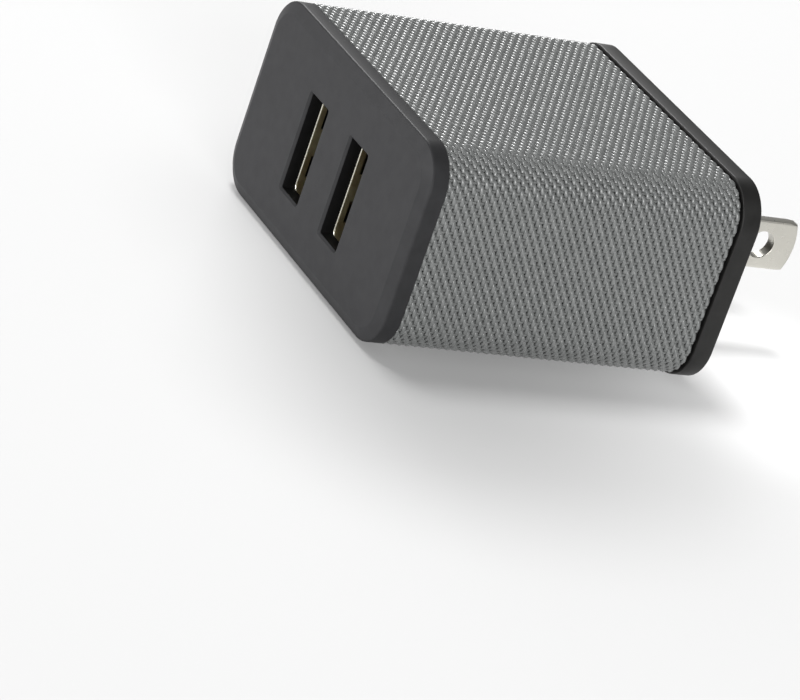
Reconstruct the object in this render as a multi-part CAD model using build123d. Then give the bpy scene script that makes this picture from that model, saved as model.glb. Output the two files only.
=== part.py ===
from build123d import *
import math
import os

# A two-port USB wall charger with fixed North American blades. Lengths are in millimetres.
# The origin is the centre of the rear face, which seats on the outlet. +Y leaves the wall side,
# along the blades, +Z is up across the thin side, and the ports open towards -Y.

# Body
WIDTH = 44.8  # across the fabric, along X
HEIGHT = 25.24  # across the fabric, along Z
DEPTH = 44.82  # from the port face to the outlet face
CORNER = 4.87  # corner radius of the fabric sleeve
FRONT = -DEPTH

# Front bezel
BEZEL_RIM = 2.73  # depth of the rim that shows in front of the fabric
BEZEL_WALL = 1.9  # thickness of the port face
BEZEL_BEVEL_FACE = 1.56  # how far the bevel reaches in over the port face
BEZEL_BEVEL_SIDE = 0.62  # how far the same bevel reaches back along the side
SKIRT_WALL = 1.2  # plug-in skirts of the bezel and the rear cap
SKIRT_LENGTH = 3.3
SKIRT_PLAY = 0.05

# Fabric, housing and rear cap
FABRIC = 0.6  # thickness of the woven sleeve
HOUSING_WALL = 1.8
GROOVE = 0.35  # shadow gap between the sleeve and the rear cap
CAP_BAND = 2.6  # thickness of the rear cap outside the housing
CAP_PROUD = 0.2  # the rear cap stands out of the fabric by this much
CAP_CORNER = 5.16
CAP_EDGE = 0.25  # chamfer round the outlet face

# Blades, NEMA 1-15
BLADE_SPACING = 12.7
BLADE_WIDTH = 6.35
BLADE_THICK = 1.5
BLADE_OUT = 17.35  # reach out of the outlet face
BLADE_TIP_RISE = 0.7  # bulge of the rounded tip
BLADE_HOLE_Y = 12.5
BLADE_HOLE_R = 1.75
BLADE_EDGE = 0.22  # edge rounding
BLADE_IN = 9.0  # length inside the case
SHOULDER_WIDTH = 8.6
SHOULDER_LENGTH = 1.0
BLADE_PLAY = 0.05
CARRIER = (22.0, 4.1, 11.2)  # moulded block that holds the blades, X by Y by Z
TERMINAL = (0.5, 2.0, 5.2)  # bronze strip on each blade, X by Y by Z
TERMINAL_LEG = 1.2  # length of its foot along Y

# USB type A ports, standing on edge
PORT_PITCH = 11.53
PORT_X = 0.05  # centre of the pair, from the middle of the face
PORT_Z = -0.57
SLOT = (4.88, 12.3)  # opening in the bezel, X by Z
SLOT_BEVEL = 0.2
CAVITY = (4.6, 12.4)  # inside of the metal shell, X by Z
SHEET = 0.3  # metal shell thickness
SHELL_LENGTH = 14.0
WINDOW = (6.0, 2.8)  # opening round each spring tab, Y by Z
WINDOW_Z = 3.15  # its centre, from the middle of the port
WINDOW_START = 1.05  # from the shell's mouth
TAB_SETBACK = 0.5  # from the window's front edge to the tab's free end
TAB_WIDTH = 1.9
INSULATOR_PLAY = 0.05
TONGUE_THICK = 1.84
TONGUE_WIDTH = 11.1
TONGUE_GAP = 0.64  # between the tongue's back and the shell
TONGUE_LENGTH = 8.9
TONGUE_SETBACK = 2.1  # from the shell's mouth to the tongue's tip
CONTACT_Z = (-3.5, -1.0, 1.0, 3.5)
CONTACT_WIDTH = 1.0
CONTACT_THICK = 0.25
CONTACT_RISE = 0.75  # how far the crown of a contact stands out of the tongue
CONTACT_REST = 0.35  # how deep a contact lies under the tongue's face at its bend
CONTACT_BEND = 0.6  # the bend, behind the tongue's root
CONTACT_CROWN = 3.3  # the crown, behind the tongue's tip
CONTACT_END = 0.95  # the free end, behind the tongue's tip
KNUCKLE_R = 0.2  # rounded bend that a contact flexes about
GROOVE_PLAY = 0.12
GROOVE_DEPTH = 1.15
PIN = (0.4, 0.7)  # section of a contact's fixed end, X by Z

# Circuit boards
BOARD = 1.2
PORT_BOARD_WIDTH = 34.0
PORT_BOARD_HEIGHT = 18.4
MAIN_BOARD_WIDTH = 37.0
MAIN_BOARD_LENGTH = 19.6
MAIN_BOARD_TOP = -6.8
LEAD = 0.6  # diameter of round leads
LEAD_STUB = 1.2  # what a lead shows under its board
RAIL = (0.9, 0.8)  # rails of the housing that hold the main board, X by Z
RAIL_PLAY = 0.05
LINK_X = [-6.35 + 2.54 * n for n in range(6)]
LINK_HEADER = (15.2, 1.8)  # X by Z

# Transformer, with the size of its cores and bobbin
CORE_W, CORE_H, CORE_D = 15.6, 13.4, 5.2
CORE_YOKE = 2.4
CORE_OUTER_LEG = 2.0
CORE_GAP = 0.06
LEG = 4.6
FLANGE = 0.6
WINDING = 2.6  # build-up of the winding round the bobbin
BOBBIN_WALL = 0.55
BOBBIN_FOOT = (14.0, 2.6)

# Places worked out from the sizes above
SHELL_MOUTH = FRONT + BEZEL_WALL
SHELL_END = SHELL_MOUTH + SHELL_LENGTH
TONGUE_TIP = SHELL_MOUTH + TONGUE_SETBACK
TONGUE_ROOT = TONGUE_TIP + TONGUE_LENGTH
HOUSING_START = FRONT + BEZEL_RIM
CAP_START = -CAP_BAND
FABRIC_END = CAP_START - GROOVE
INNER_W = WIDTH - 2 * (FABRIC + HOUSING_WALL)
INNER_H = HEIGHT - 2 * (FABRIC + HOUSING_WALL)
INNER_CORNER = CORNER - FABRIC - HOUSING_WALL
PORT_BOARD_FRONT = SHELL_END + 0.3
MAIN_BOARD_START = PORT_BOARD_FRONT + BOARD + 0.2
MAIN_BOARD_END = MAIN_BOARD_START + MAIN_BOARD_LENGTH
LINK_Z = MAIN_BOARD_TOP + 1.3
LINK_Y = MAIN_BOARD_START + 1.6
CORE_LOW = MAIN_BOARD_TOP + 2.2
BOBBIN_LOW = CORE_LOW + CORE_YOKE + 0.05
BOBBIN_HIGH = CORE_LOW + CORE_H - CORE_YOKE - 0.05
SPOOL_HOLE = (LEG + 0.2, CORE_D + 0.2)
SPOOL = (SPOOL_HOLE[0] + 2 * BOBBIN_WALL, SPOOL_HOLE[1] + 2 * BOBBIN_WALL)
WOUND = (SPOOL[0] + 2 * WINDING - 1.7, SPOOL[1] + 2 * WINDING)
TRANSFORMER = (-9.3, MAIN_BOARD_START + 8.7)
BULK_CAPACITORS = [(5.7, MAIN_BOARD_START + 13.4), (14.2, MAIN_BOARD_START + 13.4)]
OUTPUT_CAPACITORS = [(8.4, MAIN_BOARD_START + 5.9), (15.1, MAIN_BOARD_START + 5.9)]
CHOKE = (-1.6, MAIN_BOARD_START + 17.0)
FUSE = (-14.2, MAIN_BOARD_START + 17.4)
SAFETY_CAPACITOR = (2.0, MAIN_BOARD_START + 7.3)
PORTS = {"left": PORT_X - PORT_PITCH / 2, "right": PORT_X + PORT_PITCH / 2}
BLADES = {"left": -BLADE_SPACING / 2, "right": BLADE_SPACING / 2}


def write(name, *solids):
    """Write one node's solids to its STEP file."""
    shape = solids[0] if len(solids) == 1 else Compound(children=list(solids))
    export_step(shape, f"parts/{name}.step")


def block(x, y, z):
    """A box from its (low, high) range on each axis."""
    size = [high - low for low, high in (x, y, z)]
    middle = [(high + low) / 2 for low, high in (x, y, z)]
    return Pos(*middle) * Box(*size)


def centred(x, y, z, width, length, height):
    """A box standing at height z, centred on x and y."""
    return Pos(x, y, z + height / 2) * Box(width, length, height)


def slab(width, height, radius, start, end):
    """A rounded rectangle in X and Z, from start to end along Y."""
    return extrude(Plane.XZ.offset(-end) * RectangleRounded(width, height, radius), end - start)


def rod_z(x, y, low, high, radius):
    """An upright cylinder."""
    return Pos(x, y, (low + high) / 2) * Cylinder(radius, high - low)


def rod_y(x, z, start, end, radius):
    """A cylinder along Y."""
    return Pos(x, (start + end) / 2, z) * Rot(90, 0, 0) * Cylinder(radius, end - start)


# ---------------------------------------------------------------- case


def front_bezel():
    rim = slab(WIDTH, HEIGHT, CORNER, FRONT, HOUSING_START)
    outline = rim.edges().filter_by(lambda e: abs(e.center().Y - FRONT) < 0.01)
    face = rim.faces().sort_by(Axis.Y)[0]
    rim = chamfer(outline, BEZEL_BEVEL_FACE, BEZEL_BEVEL_SIDE, reference=face)
    skirt_w = INNER_W - 2 * SKIRT_PLAY
    skirt_h = INNER_H - 2 * SKIRT_PLAY
    hollow_w = skirt_w - 2 * SKIRT_WALL
    hollow_h = skirt_h - 2 * SKIRT_WALL
    skirt_end = HOUSING_START + SKIRT_LENGTH
    body = rim + slab(skirt_w, skirt_h, INNER_CORNER, HOUSING_START, skirt_end)
    body -= slab(hollow_w, hollow_h, INNER_CORNER - SKIRT_WALL, SHELL_MOUTH, skirt_end)
    for x in PORTS.values():
        body -= Pos(x, FRONT + BEZEL_WALL / 2, PORT_Z) * Box(SLOT[0], BEZEL_WALL, SLOT[1])
        mouth = Pos(x, 0, PORT_Z) * loft(
            [
                Plane.XZ.offset(-FRONT) * Rectangle(SLOT[0] + 2 * SLOT_BEVEL, SLOT[1] + 2 * SLOT_BEVEL),
                Plane.XZ.offset(-FRONT - SLOT_BEVEL) * Rectangle(*SLOT),
            ]
        )
        body -= mouth
    return body


def fabric_sleeve():
    outer = slab(WIDTH, HEIGHT, CORNER, HOUSING_START, FABRIC_END)
    core = slab(WIDTH - 2 * FABRIC, HEIGHT - 2 * FABRIC, CORNER - FABRIC, HOUSING_START, FABRIC_END)
    return outer - core


def inner_housing():
    outer_w = WIDTH - 2 * FABRIC
    outer_h = HEIGHT - 2 * FABRIC
    tube = slab(outer_w, outer_h, CORNER - FABRIC, HOUSING_START, CAP_START)
    tube -= slab(INNER_W, INNER_H, INNER_CORNER, HOUSING_START, CAP_START)
    # Rails on both side walls hold the main board.
    for side in (-1, 1):
        for low in (MAIN_BOARD_TOP + RAIL_PLAY, MAIN_BOARD_TOP - BOARD - RAIL_PLAY - RAIL[1]):
            x = side * (INNER_W - RAIL[0]) / 2
            middle = (MAIN_BOARD_START + MAIN_BOARD_END) / 2
            tube += centred(x, middle, low, RAIL[0], MAIN_BOARD_LENGTH - 2, RAIL[1])
    return tube


def rear_cap():
    width = WIDTH + 2 * CAP_PROUD
    height = HEIGHT + 2 * CAP_PROUD
    plate = slab(width, height, CAP_CORNER, CAP_START, 0)
    outline = plate.edges().filter_by(lambda e: abs(e.center().Y) < 0.01)
    plate = chamfer(outline, CAP_EDGE)
    skirt_w = INNER_W - 2 * SKIRT_PLAY
    skirt_h = INNER_H - 2 * SKIRT_PLAY
    skirt = slab(skirt_w, skirt_h, INNER_CORNER, CAP_START - SKIRT_LENGTH, CAP_START)
    hollow_w = skirt_w - 2 * SKIRT_WALL
    hollow_h = skirt_h - 2 * SKIRT_WALL
    skirt -= slab(hollow_w, hollow_h, INNER_CORNER - SKIRT_WALL, CAP_START - SKIRT_LENGTH, CAP_START)
    cap = plate + skirt
    for x in BLADES.values():
        cap -= block(
            (x - BLADE_THICK / 2 - BLADE_PLAY, x + BLADE_THICK / 2 + BLADE_PLAY),
            (CAP_START, 0),
            (-BLADE_WIDTH / 2 - BLADE_PLAY, BLADE_WIDTH / 2 + BLADE_PLAY),
        )
    return cap


# ---------------------------------------------------------------- blades


def blade(x):
    half = BLADE_WIDTH / 2
    straight = BLADE_OUT - BLADE_TIP_RISE
    outline = Polyline((straight, -half), (-BLADE_IN, -half), (-BLADE_IN, half), (straight, half))
    tip = ThreePointArc((straight, half), (BLADE_OUT, 0), (straight, -half))
    side = make_face(Plane.YZ * (outline + tip))
    strip = Pos(x, 0, 0) * extrude(side, BLADE_THICK / 2, both=True)
    rim = strip.edges().filter_by(lambda e: abs(e.center().X - x) > BLADE_THICK / 2 - 0.01)
    strip = fillet(rim.filter_by(lambda e: e.center().Y > -BLADE_IN + 0.01), BLADE_EDGE)
    strip += block(
        (x - BLADE_THICK / 2, x + BLADE_THICK / 2),
        (CAP_START - SHOULDER_LENGTH, CAP_START),
        (-SHOULDER_WIDTH / 2, SHOULDER_WIDTH / 2),
    )
    hole = Pos(x, BLADE_HOLE_Y, 0) * Rot(0, 90, 0) * Cylinder(BLADE_HOLE_R, 3 * BLADE_THICK)
    return strip - hole


def blade_carrier():
    width, length, height = CARRIER
    start = CAP_START - length
    body = block((-width / 2, width / 2), (start, CAP_START), (-height / 2, height / 2))
    for x in BLADES.values():
        reach = BLADE_THICK / 2 + BLADE_PLAY
        half = BLADE_WIDTH / 2 + BLADE_PLAY
        body -= block((x - reach, x + reach), (start, CAP_START), (-half, half))
        pocket = SHOULDER_WIDTH / 2 + BLADE_PLAY
        pocket_start = CAP_START - SHOULDER_LENGTH - BLADE_PLAY
        body -= block((x - reach, x + reach), (pocket_start, CAP_START), (-pocket, pocket))
    return body


def blade_terminal(x):
    """A bronze strip on the blade's outer side, with a foot through the main board."""
    thick, length, height = TERMINAL
    outer = x + math.copysign(BLADE_THICK / 2, x)
    span = tuple(sorted((outer, outer + math.copysign(thick, x))))
    plate = block(span, (-BLADE_IN, -BLADE_IN + length), (-height / 2, height / 2))
    leg_end = MAIN_BOARD_TOP - BOARD - LEAD_STUB
    return plate + block(span, (-BLADE_IN, -BLADE_IN + TERMINAL_LEG), (leg_end, -height / 2))


# ---------------------------------------------------------------- ports


def tongue_back(x):
    """Where the tongue's back face lies, on the +X side of the port."""
    return x + CAVITY[0] / 2 - TONGUE_GAP


def usb_shell(x):
    outer_w = CAVITY[0] + 2 * SHEET
    outer_h = CAVITY[1] + 2 * SHEET
    middle = (SHELL_MOUTH + SHELL_END) / 2
    shell = Pos(x, middle, PORT_Z) * Box(outer_w, SHELL_LENGTH, outer_h)
    shell -= Pos(x, middle, PORT_Z) * Box(CAVITY[0], SHELL_LENGTH, CAVITY[1])
    # Two spring tabs are stamped in each wide wall, free towards the mouth.
    start = SHELL_MOUTH + WINDOW_START
    end = start + WINDOW[0]
    for side in (-1, 1):
        for z in (PORT_Z - WINDOW_Z, PORT_Z + WINDOW_Z):
            wall = x + side * (CAVITY[0] / 2 + SHEET / 2)
            across = (wall - SHEET, wall + SHEET)
            window = block(across, (start, end), (z - WINDOW[1] / 2, z + WINDOW[1] / 2))
            tab = block(across, (start + TAB_SETBACK, end), (z - TAB_WIDTH / 2, z + TAB_WIDTH / 2))
            shell -= window - tab
    return shell


def usb_insulator(x):
    """The black moulding: a back block that fills the shell, and the tongue with its grooves."""
    half_w = CAVITY[0] / 2 - INSULATOR_PLAY
    half_h = CAVITY[1] / 2 - INSULATOR_PLAY
    body = block((x - half_w, x + half_w), (TONGUE_ROOT, SHELL_END), (PORT_Z - half_h, PORT_Z + half_h))
    back = tongue_back(x)
    tongue = block(
        (back - TONGUE_THICK, back),
        (TONGUE_TIP, TONGUE_ROOT),
        (PORT_Z - TONGUE_WIDTH / 2, PORT_Z + TONGUE_WIDTH / 2),
    )
    tip = tongue.edges().filter_by(Axis.Z).filter_by(lambda e: abs(e.center().Y - TONGUE_TIP) < 0.01)
    body += chamfer(tip, 0.3)
    face = back - TONGUE_THICK
    floor = face + GROOVE_DEPTH
    bend = contact_line(x)[0][0]
    half = CONTACT_WIDTH / 2 + GROOVE_PLAY
    pin_x, pin_z = PIN[0] / 2 + 0.02, PIN[1] / 2 + 0.02
    for z in CONTACT_Z:
        middle = PORT_Z + z
        across = (middle - half, middle + half)
        body -= block((face, floor), (TONGUE_TIP + 0.6, TONGUE_ROOT + 2.3), across)
        # The groove opens to the side at the root, so the contact's bend can swing.
        body -= block((x - CAVITY[0] / 2, floor), (TONGUE_ROOT, TONGUE_ROOT + 1.2), across)
        hole = (middle - pin_z, middle + pin_z)
        body -= block((bend - pin_x, bend + pin_x), (TONGUE_ROOT + 2, SHELL_END), hole)
    return body


def contact_line(x):
    """The bent line of one contact, from the bend it flexes about to its free end."""
    face = tongue_back(x) - TONGUE_THICK
    rest = face + CONTACT_REST
    root = (rest, TONGUE_ROOT + CONTACT_BEND)
    crown = (face - CONTACT_RISE + CONTACT_THICK / 2, TONGUE_TIP + CONTACT_CROWN)
    free = (rest - 0.05, TONGUE_TIP + CONTACT_END)
    return root, crown, free


def usb_contact(x, z):
    root, crown, free = contact_line(x)
    beam = trace([Line(root, crown), Line(crown, free)], CONTACT_THICK)
    strip = Pos(0, 0, PORT_Z + z) * extrude(beam, CONTACT_WIDTH / 2, both=True)
    knuckle = Pos(root[0], root[1], PORT_Z + z) * Cylinder(KNUCKLE_R, CONTACT_WIDTH)
    return strip + knuckle


def usb_pin(x, z):
    """The fixed end of a contact: a pin through the moulding and the port board."""
    root = contact_line(x)[0]
    start = root[1] + KNUCKLE_R + 0.08
    end = PORT_BOARD_FRONT + BOARD + LEAD_STUB
    middle = (start + end) / 2
    return Pos(root[0], middle, PORT_Z + z) * Box(PIN[0], end - start, PIN[1])


# ---------------------------------------------------------------- boards


def port_board():
    board = slab(PORT_BOARD_WIDTH, PORT_BOARD_HEIGHT, 0.8, PORT_BOARD_FRONT, PORT_BOARD_FRONT + BOARD)
    middle = PORT_BOARD_FRONT + BOARD / 2
    for x in PORTS.values():
        bend = contact_line(x)[0][0]
        for z in CONTACT_Z:
            board -= Pos(bend, middle, PORT_Z + z) * Box(PIN[0] + 0.1, BOARD, PIN[1] + 0.1)
    for x in LINK_X:
        board -= rod_y(x, LINK_Z, PORT_BOARD_FRONT, PORT_BOARD_FRONT + BOARD, LEAD / 2 + 0.05)
    return board


def link_pin(x):
    """A right-angle pin that joins the two boards."""
    along = rod_y(x, LINK_Z, PORT_BOARD_FRONT - 0.25, LINK_Y, LEAD / 2)
    down = rod_z(x, LINK_Y, MAIN_BOARD_TOP - BOARD - LEAD_STUB, LINK_Z, LEAD / 2)
    knee = Pos(x, LINK_Y, LINK_Z) * Sphere(LEAD / 2)
    return along + down + knee


def link_header():
    start = PORT_BOARD_FRONT + BOARD + 0.02
    width, height = LINK_HEADER
    across = (-width / 2, width / 2)
    strip = block(across, (start, LINK_Y - LEAD / 2 - 0.1), (LINK_Z - height / 2, LINK_Z + height / 2))
    for x in LINK_X:
        strip -= rod_y(x, LINK_Z, start, LINK_Y, LEAD / 2 + 0.02)
    return strip


def main_board(leads):
    low = MAIN_BOARD_TOP - BOARD
    across = (-MAIN_BOARD_WIDTH / 2, MAIN_BOARD_WIDTH / 2)
    board = block(across, (MAIN_BOARD_START, MAIN_BOARD_END), (low, MAIN_BOARD_TOP))
    for x, y in leads:
        board -= rod_z(x, y, low, MAIN_BOARD_TOP, LEAD / 2 + 0.06)
    for x in BLADES.values():
        leg = x + math.copysign((BLADE_THICK + TERMINAL[0]) / 2, x)
        middle = -BLADE_IN + TERMINAL_LEG / 2
        board -= centred(leg, middle, low, TERMINAL[0] + 0.2, TERMINAL_LEG + 0.2, BOARD)
    return board


def leads_below(places, top):
    """Round leads at each place, from top down through the main board."""
    return [rod_z(x, y, MAIN_BOARD_TOP - BOARD - LEAD_STUB, top, LEAD / 2) for x, y in places]


# ---------------------------------------------------------------- components


def transformer_cores():
    """Two E-shaped ferrite halves that meet half way up."""
    x, y = TRANSFORMER
    whole = centred(x, y, CORE_LOW, CORE_W, CORE_D, CORE_H)
    window_w = (CORE_W - LEG) / 2 - CORE_OUTER_LEG
    window_h = CORE_H - 2 * CORE_YOKE
    for side in (-1, 1):
        middle = x + side * (LEG + window_w) / 2
        whole -= centred(middle, y, CORE_LOW + CORE_YOKE, window_w, CORE_D, window_h)
    half = CORE_H / 2
    lower = whole & centred(x, y, CORE_LOW, CORE_W, CORE_D, half - CORE_GAP / 2)
    upper = whole & centred(x, y, CORE_LOW + half + CORE_GAP / 2, CORE_W, CORE_D, half)
    return lower, upper


def ring(size, hole, low, high):
    """A rectangular tube round the transformer's middle leg."""
    x, y = TRANSFORMER
    outer = centred(x, y, low, size[0], size[1], high - low)
    return outer - centred(x, y, low, hole[0], hole[1], high - low)


def transformer_bobbin():
    spool = ring(SPOOL, SPOOL_HOLE, BOBBIN_LOW, BOBBIN_HIGH)
    rim = (WOUND[0] + 0.6, WOUND[1] + 1.0)
    for low in (BOBBIN_LOW, BOBBIN_HIGH - FLANGE):
        spool += ring(rim, SPOOL_HOLE, low, low + FLANGE)
    x, y = TRANSFORMER
    foot_high = BOBBIN_LOW + 0.1 - MAIN_BOARD_TOP
    for side in (-1, 1):
        foot_y = y + side * (CORE_D / 2 + 1.6)
        spool += centred(x, foot_y, MAIN_BOARD_TOP, *BOBBIN_FOOT, foot_high)
    return spool


def winding_ring(grow_in, grow_out):
    hole = (SPOOL[0] + 2 * grow_in, SPOOL[1] + 2 * grow_in)
    size = (WOUND[0] + 2 * grow_out, WOUND[1] + 2 * grow_out)
    return ring(size, hole, BOBBIN_LOW + FLANGE + 0.05, BOBBIN_HIGH - FLANGE - 0.05)


def transformer_tape():
    hole = (WOUND[0] + 0.02, WOUND[1] + 0.02)
    size = (WOUND[0] + 0.22, WOUND[1] + 0.22)
    return ring(size, hole, BOBBIN_LOW + FLANGE + 0.2, BOBBIN_HIGH - FLANGE - 0.2)


def transformer_lead_places():
    x, y = TRANSFORMER
    rows = (y - CORE_D / 2 - 1.6, y + CORE_D / 2 + 1.6)
    return [(x + step, row) for row in rows for step in (-5.25, -1.75, 1.75, 5.25)]


def capacitor(x, y, radius, height):
    """An electrolytic can with a rolled neck and a scored top."""
    base = MAIN_BOARD_TOP + 0.4
    can = rod_z(x, y, base, base + height, radius)
    neck = rod_z(x, y, base + 1.3, base + 1.9, radius) - rod_z(x, y, base + 1.3, base + 1.9, radius - 0.3)
    can -= neck
    top = can.edges().filter_by(lambda e: e.center().Z > base + height - 0.01)
    can = fillet(top, 0.4)
    for turn in (0, 90):
        score = Pos(x, y, base + height) * Rot(0, 0, turn) * Box(radius * 1.2, 0.25, 0.3)
        can -= score
    return can


def two_leads(places, pitch):
    return [(x + side * pitch / 2, y) for x, y in places for side in (-1, 1)]


def input_choke():
    x, y = CHOKE
    base = MAIN_BOARD_TOP + 0.3
    drum = rod_z(x, y, base, base + 6.0, 2.1)
    return drum - (rod_z(x, y, base + 1.0, base + 5.0, 2.1) - rod_z(x, y, base + 1.0, base + 5.0, 1.5))


def choke_winding():
    x, y = CHOKE
    base = MAIN_BOARD_TOP + 1.35
    return rod_z(x, y, base, base + 3.9, 1.95) - rod_z(x, y, base, base + 3.9, 1.55)


def fuse():
    x, y = FUSE
    body = centred(x, y, MAIN_BOARD_TOP + 0.3, 8.0, 3.4, 7.0)
    return fillet(body.edges().filter_by(Axis.Z), 0.5)


def safety_capacitor():
    x, y = SAFETY_CAPACITOR
    disc = rod_y(x, MAIN_BOARD_TOP + 4.0, y - 1.4, y + 1.4, 3.1)
    return fillet(disc.edges(), 0.8)


def chip(x, y, width, length, height):
    """A chip under the main board, with a gull-wing row along each side."""
    top = MAIN_BOARD_TOP - BOARD
    body = centred(x, y, top - height, width, length, height - 0.08)
    legs = 4 if length > 3 else 2
    for side in (-1, 1):
        for n in range(legs):
            leg_y = y + (n - (legs - 1) / 2) * 1.1
            body += centred(x + side * (width / 2 + 0.35), leg_y, top - 0.35, 0.9, 0.4, 0.35)
    return body


def charge_chip():
    """The port controller, on the back of the port board."""
    start = PORT_BOARD_FRONT + BOARD
    body = block((8.6, 12.4), (start, start + 1.3), (2.2, 6.2))
    for side in (-1, 1):
        for n in range(4):
            z = 4.2 + (n - 1.5) * 0.95
            x = 10.5 + side * 2.3
            body += block((x - 0.4, x + 0.4), (start, start + 0.3), (z - 0.18, z + 0.18))
    return body


def chip_resistors():
    """Small parts in a row, on the back of the port board and under the main board."""
    start = PORT_BOARD_FRONT + BOARD
    low = MAIN_BOARD_TOP - BOARD
    parts = []
    for n in range(5):
        x = -13.0 + 2.6 * n
        parts.append(block((x, x + 1.6), (start, start + 0.5), (6.6, 7.4)))
    for n in range(6):
        x = -15.0 + 2.4 * n
        parts.append(centred(x, MAIN_BOARD_START + 5.2, low - 0.5, 1.6, 0.8, 0.5))
    return parts


def insulation_sheet():
    low = -INNER_H / 2 + 0.04
    return block((-16.5, 16.5), (MAIN_BOARD_START, MAIN_BOARD_END), (low, low + 0.25))


def build():
    os.makedirs("parts", exist_ok=True)
    write("front_bezel", front_bezel())
    write("fabric_sleeve", fabric_sleeve())
    write("inner_housing", inner_housing())
    write("rear_cap", rear_cap())
    write("blade_carrier", blade_carrier())
    write("blade_terminals", *[blade_terminal(x) for x in BLADES.values()])
    for side, x in BLADES.items():
        write(f"blade_{side}", blade(x))
    for side, x in PORTS.items():
        write(f"usb_shell_{side}", usb_shell(x))
        write(f"usb_insulator_{side}", usb_insulator(x))
        write(f"usb_contacts_{side}", *[usb_contact(x, z) for z in CONTACT_Z])
        write(f"usb_pins_{side}", *[usb_pin(x, z) for z in CONTACT_Z])
        root = contact_line(x)[0]
        print(f"{side} contact bend at x {root[0]:.3f}, y {root[1]:.3f}")

    transformer_leads = transformer_lead_places()
    capacitor_leads = two_leads(BULK_CAPACITORS, 3.5) + two_leads(OUTPUT_CAPACITORS, 2.5)
    small_leads = two_leads([CHOKE], 2.5) + two_leads([FUSE], 5.0) + two_leads([SAFETY_CAPACITOR], 3.6)
    link_places = [(x, LINK_Y) for x in LINK_X]
    write("main_board", main_board(transformer_leads + capacitor_leads + small_leads + link_places))
    write("port_board", port_board())
    write("board_link_pins", *[link_pin(x) for x in LINK_X])
    write("board_link_header", link_header())
    write("transformer_cores", *transformer_cores())
    write("transformer_bobbin", transformer_bobbin())
    write("transformer_winding", winding_ring(0.02, 0))
    write("transformer_tape", transformer_tape())
    write("transformer_pins", *leads_below(transformer_leads, MAIN_BOARD_TOP))
    write("bulk_capacitors", *[capacitor(x, y, 4.0, 14.5) for x, y in BULK_CAPACITORS])
    write("output_capacitors", *[capacitor(x, y, 3.15, 11.0) for x, y in OUTPUT_CAPACITORS])
    write("capacitor_leads", *leads_below(capacitor_leads, MAIN_BOARD_TOP + 0.4))
    write("fuse", fuse())
    write("input_choke", input_choke())
    write("choke_winding", choke_winding())
    write("safety_capacitor", safety_capacitor())
    write("small_part_leads", *leads_below(small_leads, MAIN_BOARD_TOP + 0.3))
    write("bridge_rectifier", chip(12.0, MAIN_BOARD_START + 17.0, 5.0, 4.0, 1.3))
    write("power_chip", chip(-8.6, MAIN_BOARD_START + 15.7, 3.9, 4.4, 1.3))
    write("output_rectifier", chip(0.3, MAIN_BOARD_START + 10.9, 3.9, 4.4, 1.3))
    write("charge_chip", charge_chip())
    write("chip_resistors", *chip_resistors())
    write("insulation_sheet", insulation_sheet())


build()
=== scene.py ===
import math

import bmesh
import bpy
import numpy as np
from mathutils import Matrix, Vector


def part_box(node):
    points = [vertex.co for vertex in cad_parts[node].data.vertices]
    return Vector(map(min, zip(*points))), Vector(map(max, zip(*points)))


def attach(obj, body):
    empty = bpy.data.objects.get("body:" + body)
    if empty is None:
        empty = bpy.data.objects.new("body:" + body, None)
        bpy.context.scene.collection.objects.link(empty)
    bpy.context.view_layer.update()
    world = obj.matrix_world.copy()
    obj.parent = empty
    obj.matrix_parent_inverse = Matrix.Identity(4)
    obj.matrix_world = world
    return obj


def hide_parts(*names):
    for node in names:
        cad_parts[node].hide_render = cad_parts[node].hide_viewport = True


# A woven-sleeve USB wall charger. Lengths are in metres, but for names that end in _mm and for
# the sizes of the weave and of the port shells, which are in millimetres.

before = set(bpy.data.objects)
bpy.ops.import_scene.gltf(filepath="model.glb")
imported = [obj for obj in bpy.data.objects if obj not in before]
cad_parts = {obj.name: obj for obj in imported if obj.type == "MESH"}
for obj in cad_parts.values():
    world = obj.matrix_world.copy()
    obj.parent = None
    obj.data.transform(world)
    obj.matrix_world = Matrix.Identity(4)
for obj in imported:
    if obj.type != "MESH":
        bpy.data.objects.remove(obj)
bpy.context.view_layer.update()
MM = 0.001
PORT_SIDES = ("left", "right")

# ---------------------------------------------------------------- sizes of the body

sleeve_low, sleeve_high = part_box("fabric_sleeve")
bezel_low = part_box("front_bezel")[0]
cap_low, cap_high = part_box("rear_cap")
housing_low, housing_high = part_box("inner_housing")
WIDTH = sleeve_high.x - sleeve_low.x
HEIGHT = sleeve_high.z - sleeve_low.z
FRONT = bezel_low.y
SLEEVE_START, SLEEVE_END = sleeve_low.y, sleeve_high.y
CAP_FRONT = housing_high.y
CORNER = 4.87 * MM


# ---------------------------------------------------------------- materials


def new_material(name):
    """A material with an empty tree but for its Principled shader and output."""
    material = bpy.data.materials.new(name)
    material.use_nodes = True
    tree = material.node_tree
    shader = tree.nodes["Principled BSDF"]
    return material, tree, shader


def node(tree, kind, **values):
    made = tree.nodes.new(kind)
    for name, value in values.items():
        if hasattr(made, name) and name not in made.inputs:
            setattr(made, name, value)
        else:
            made.inputs[name].default_value = value
    return made


def object_noise(tree, size_mm, detail=3.0, roughness=0.55):
    """Noise whose features are about size_mm across, in the object's own space."""
    place = node(tree, "ShaderNodeTexCoord")
    noise = node(tree, "ShaderNodeTexNoise")
    noise.inputs["Scale"].default_value = 1000.0 / size_mm
    noise.inputs["Detail"].default_value = detail
    noise.inputs["Roughness"].default_value = roughness
    tree.links.new(place.outputs["Object"], noise.inputs["Vector"])
    return noise


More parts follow.
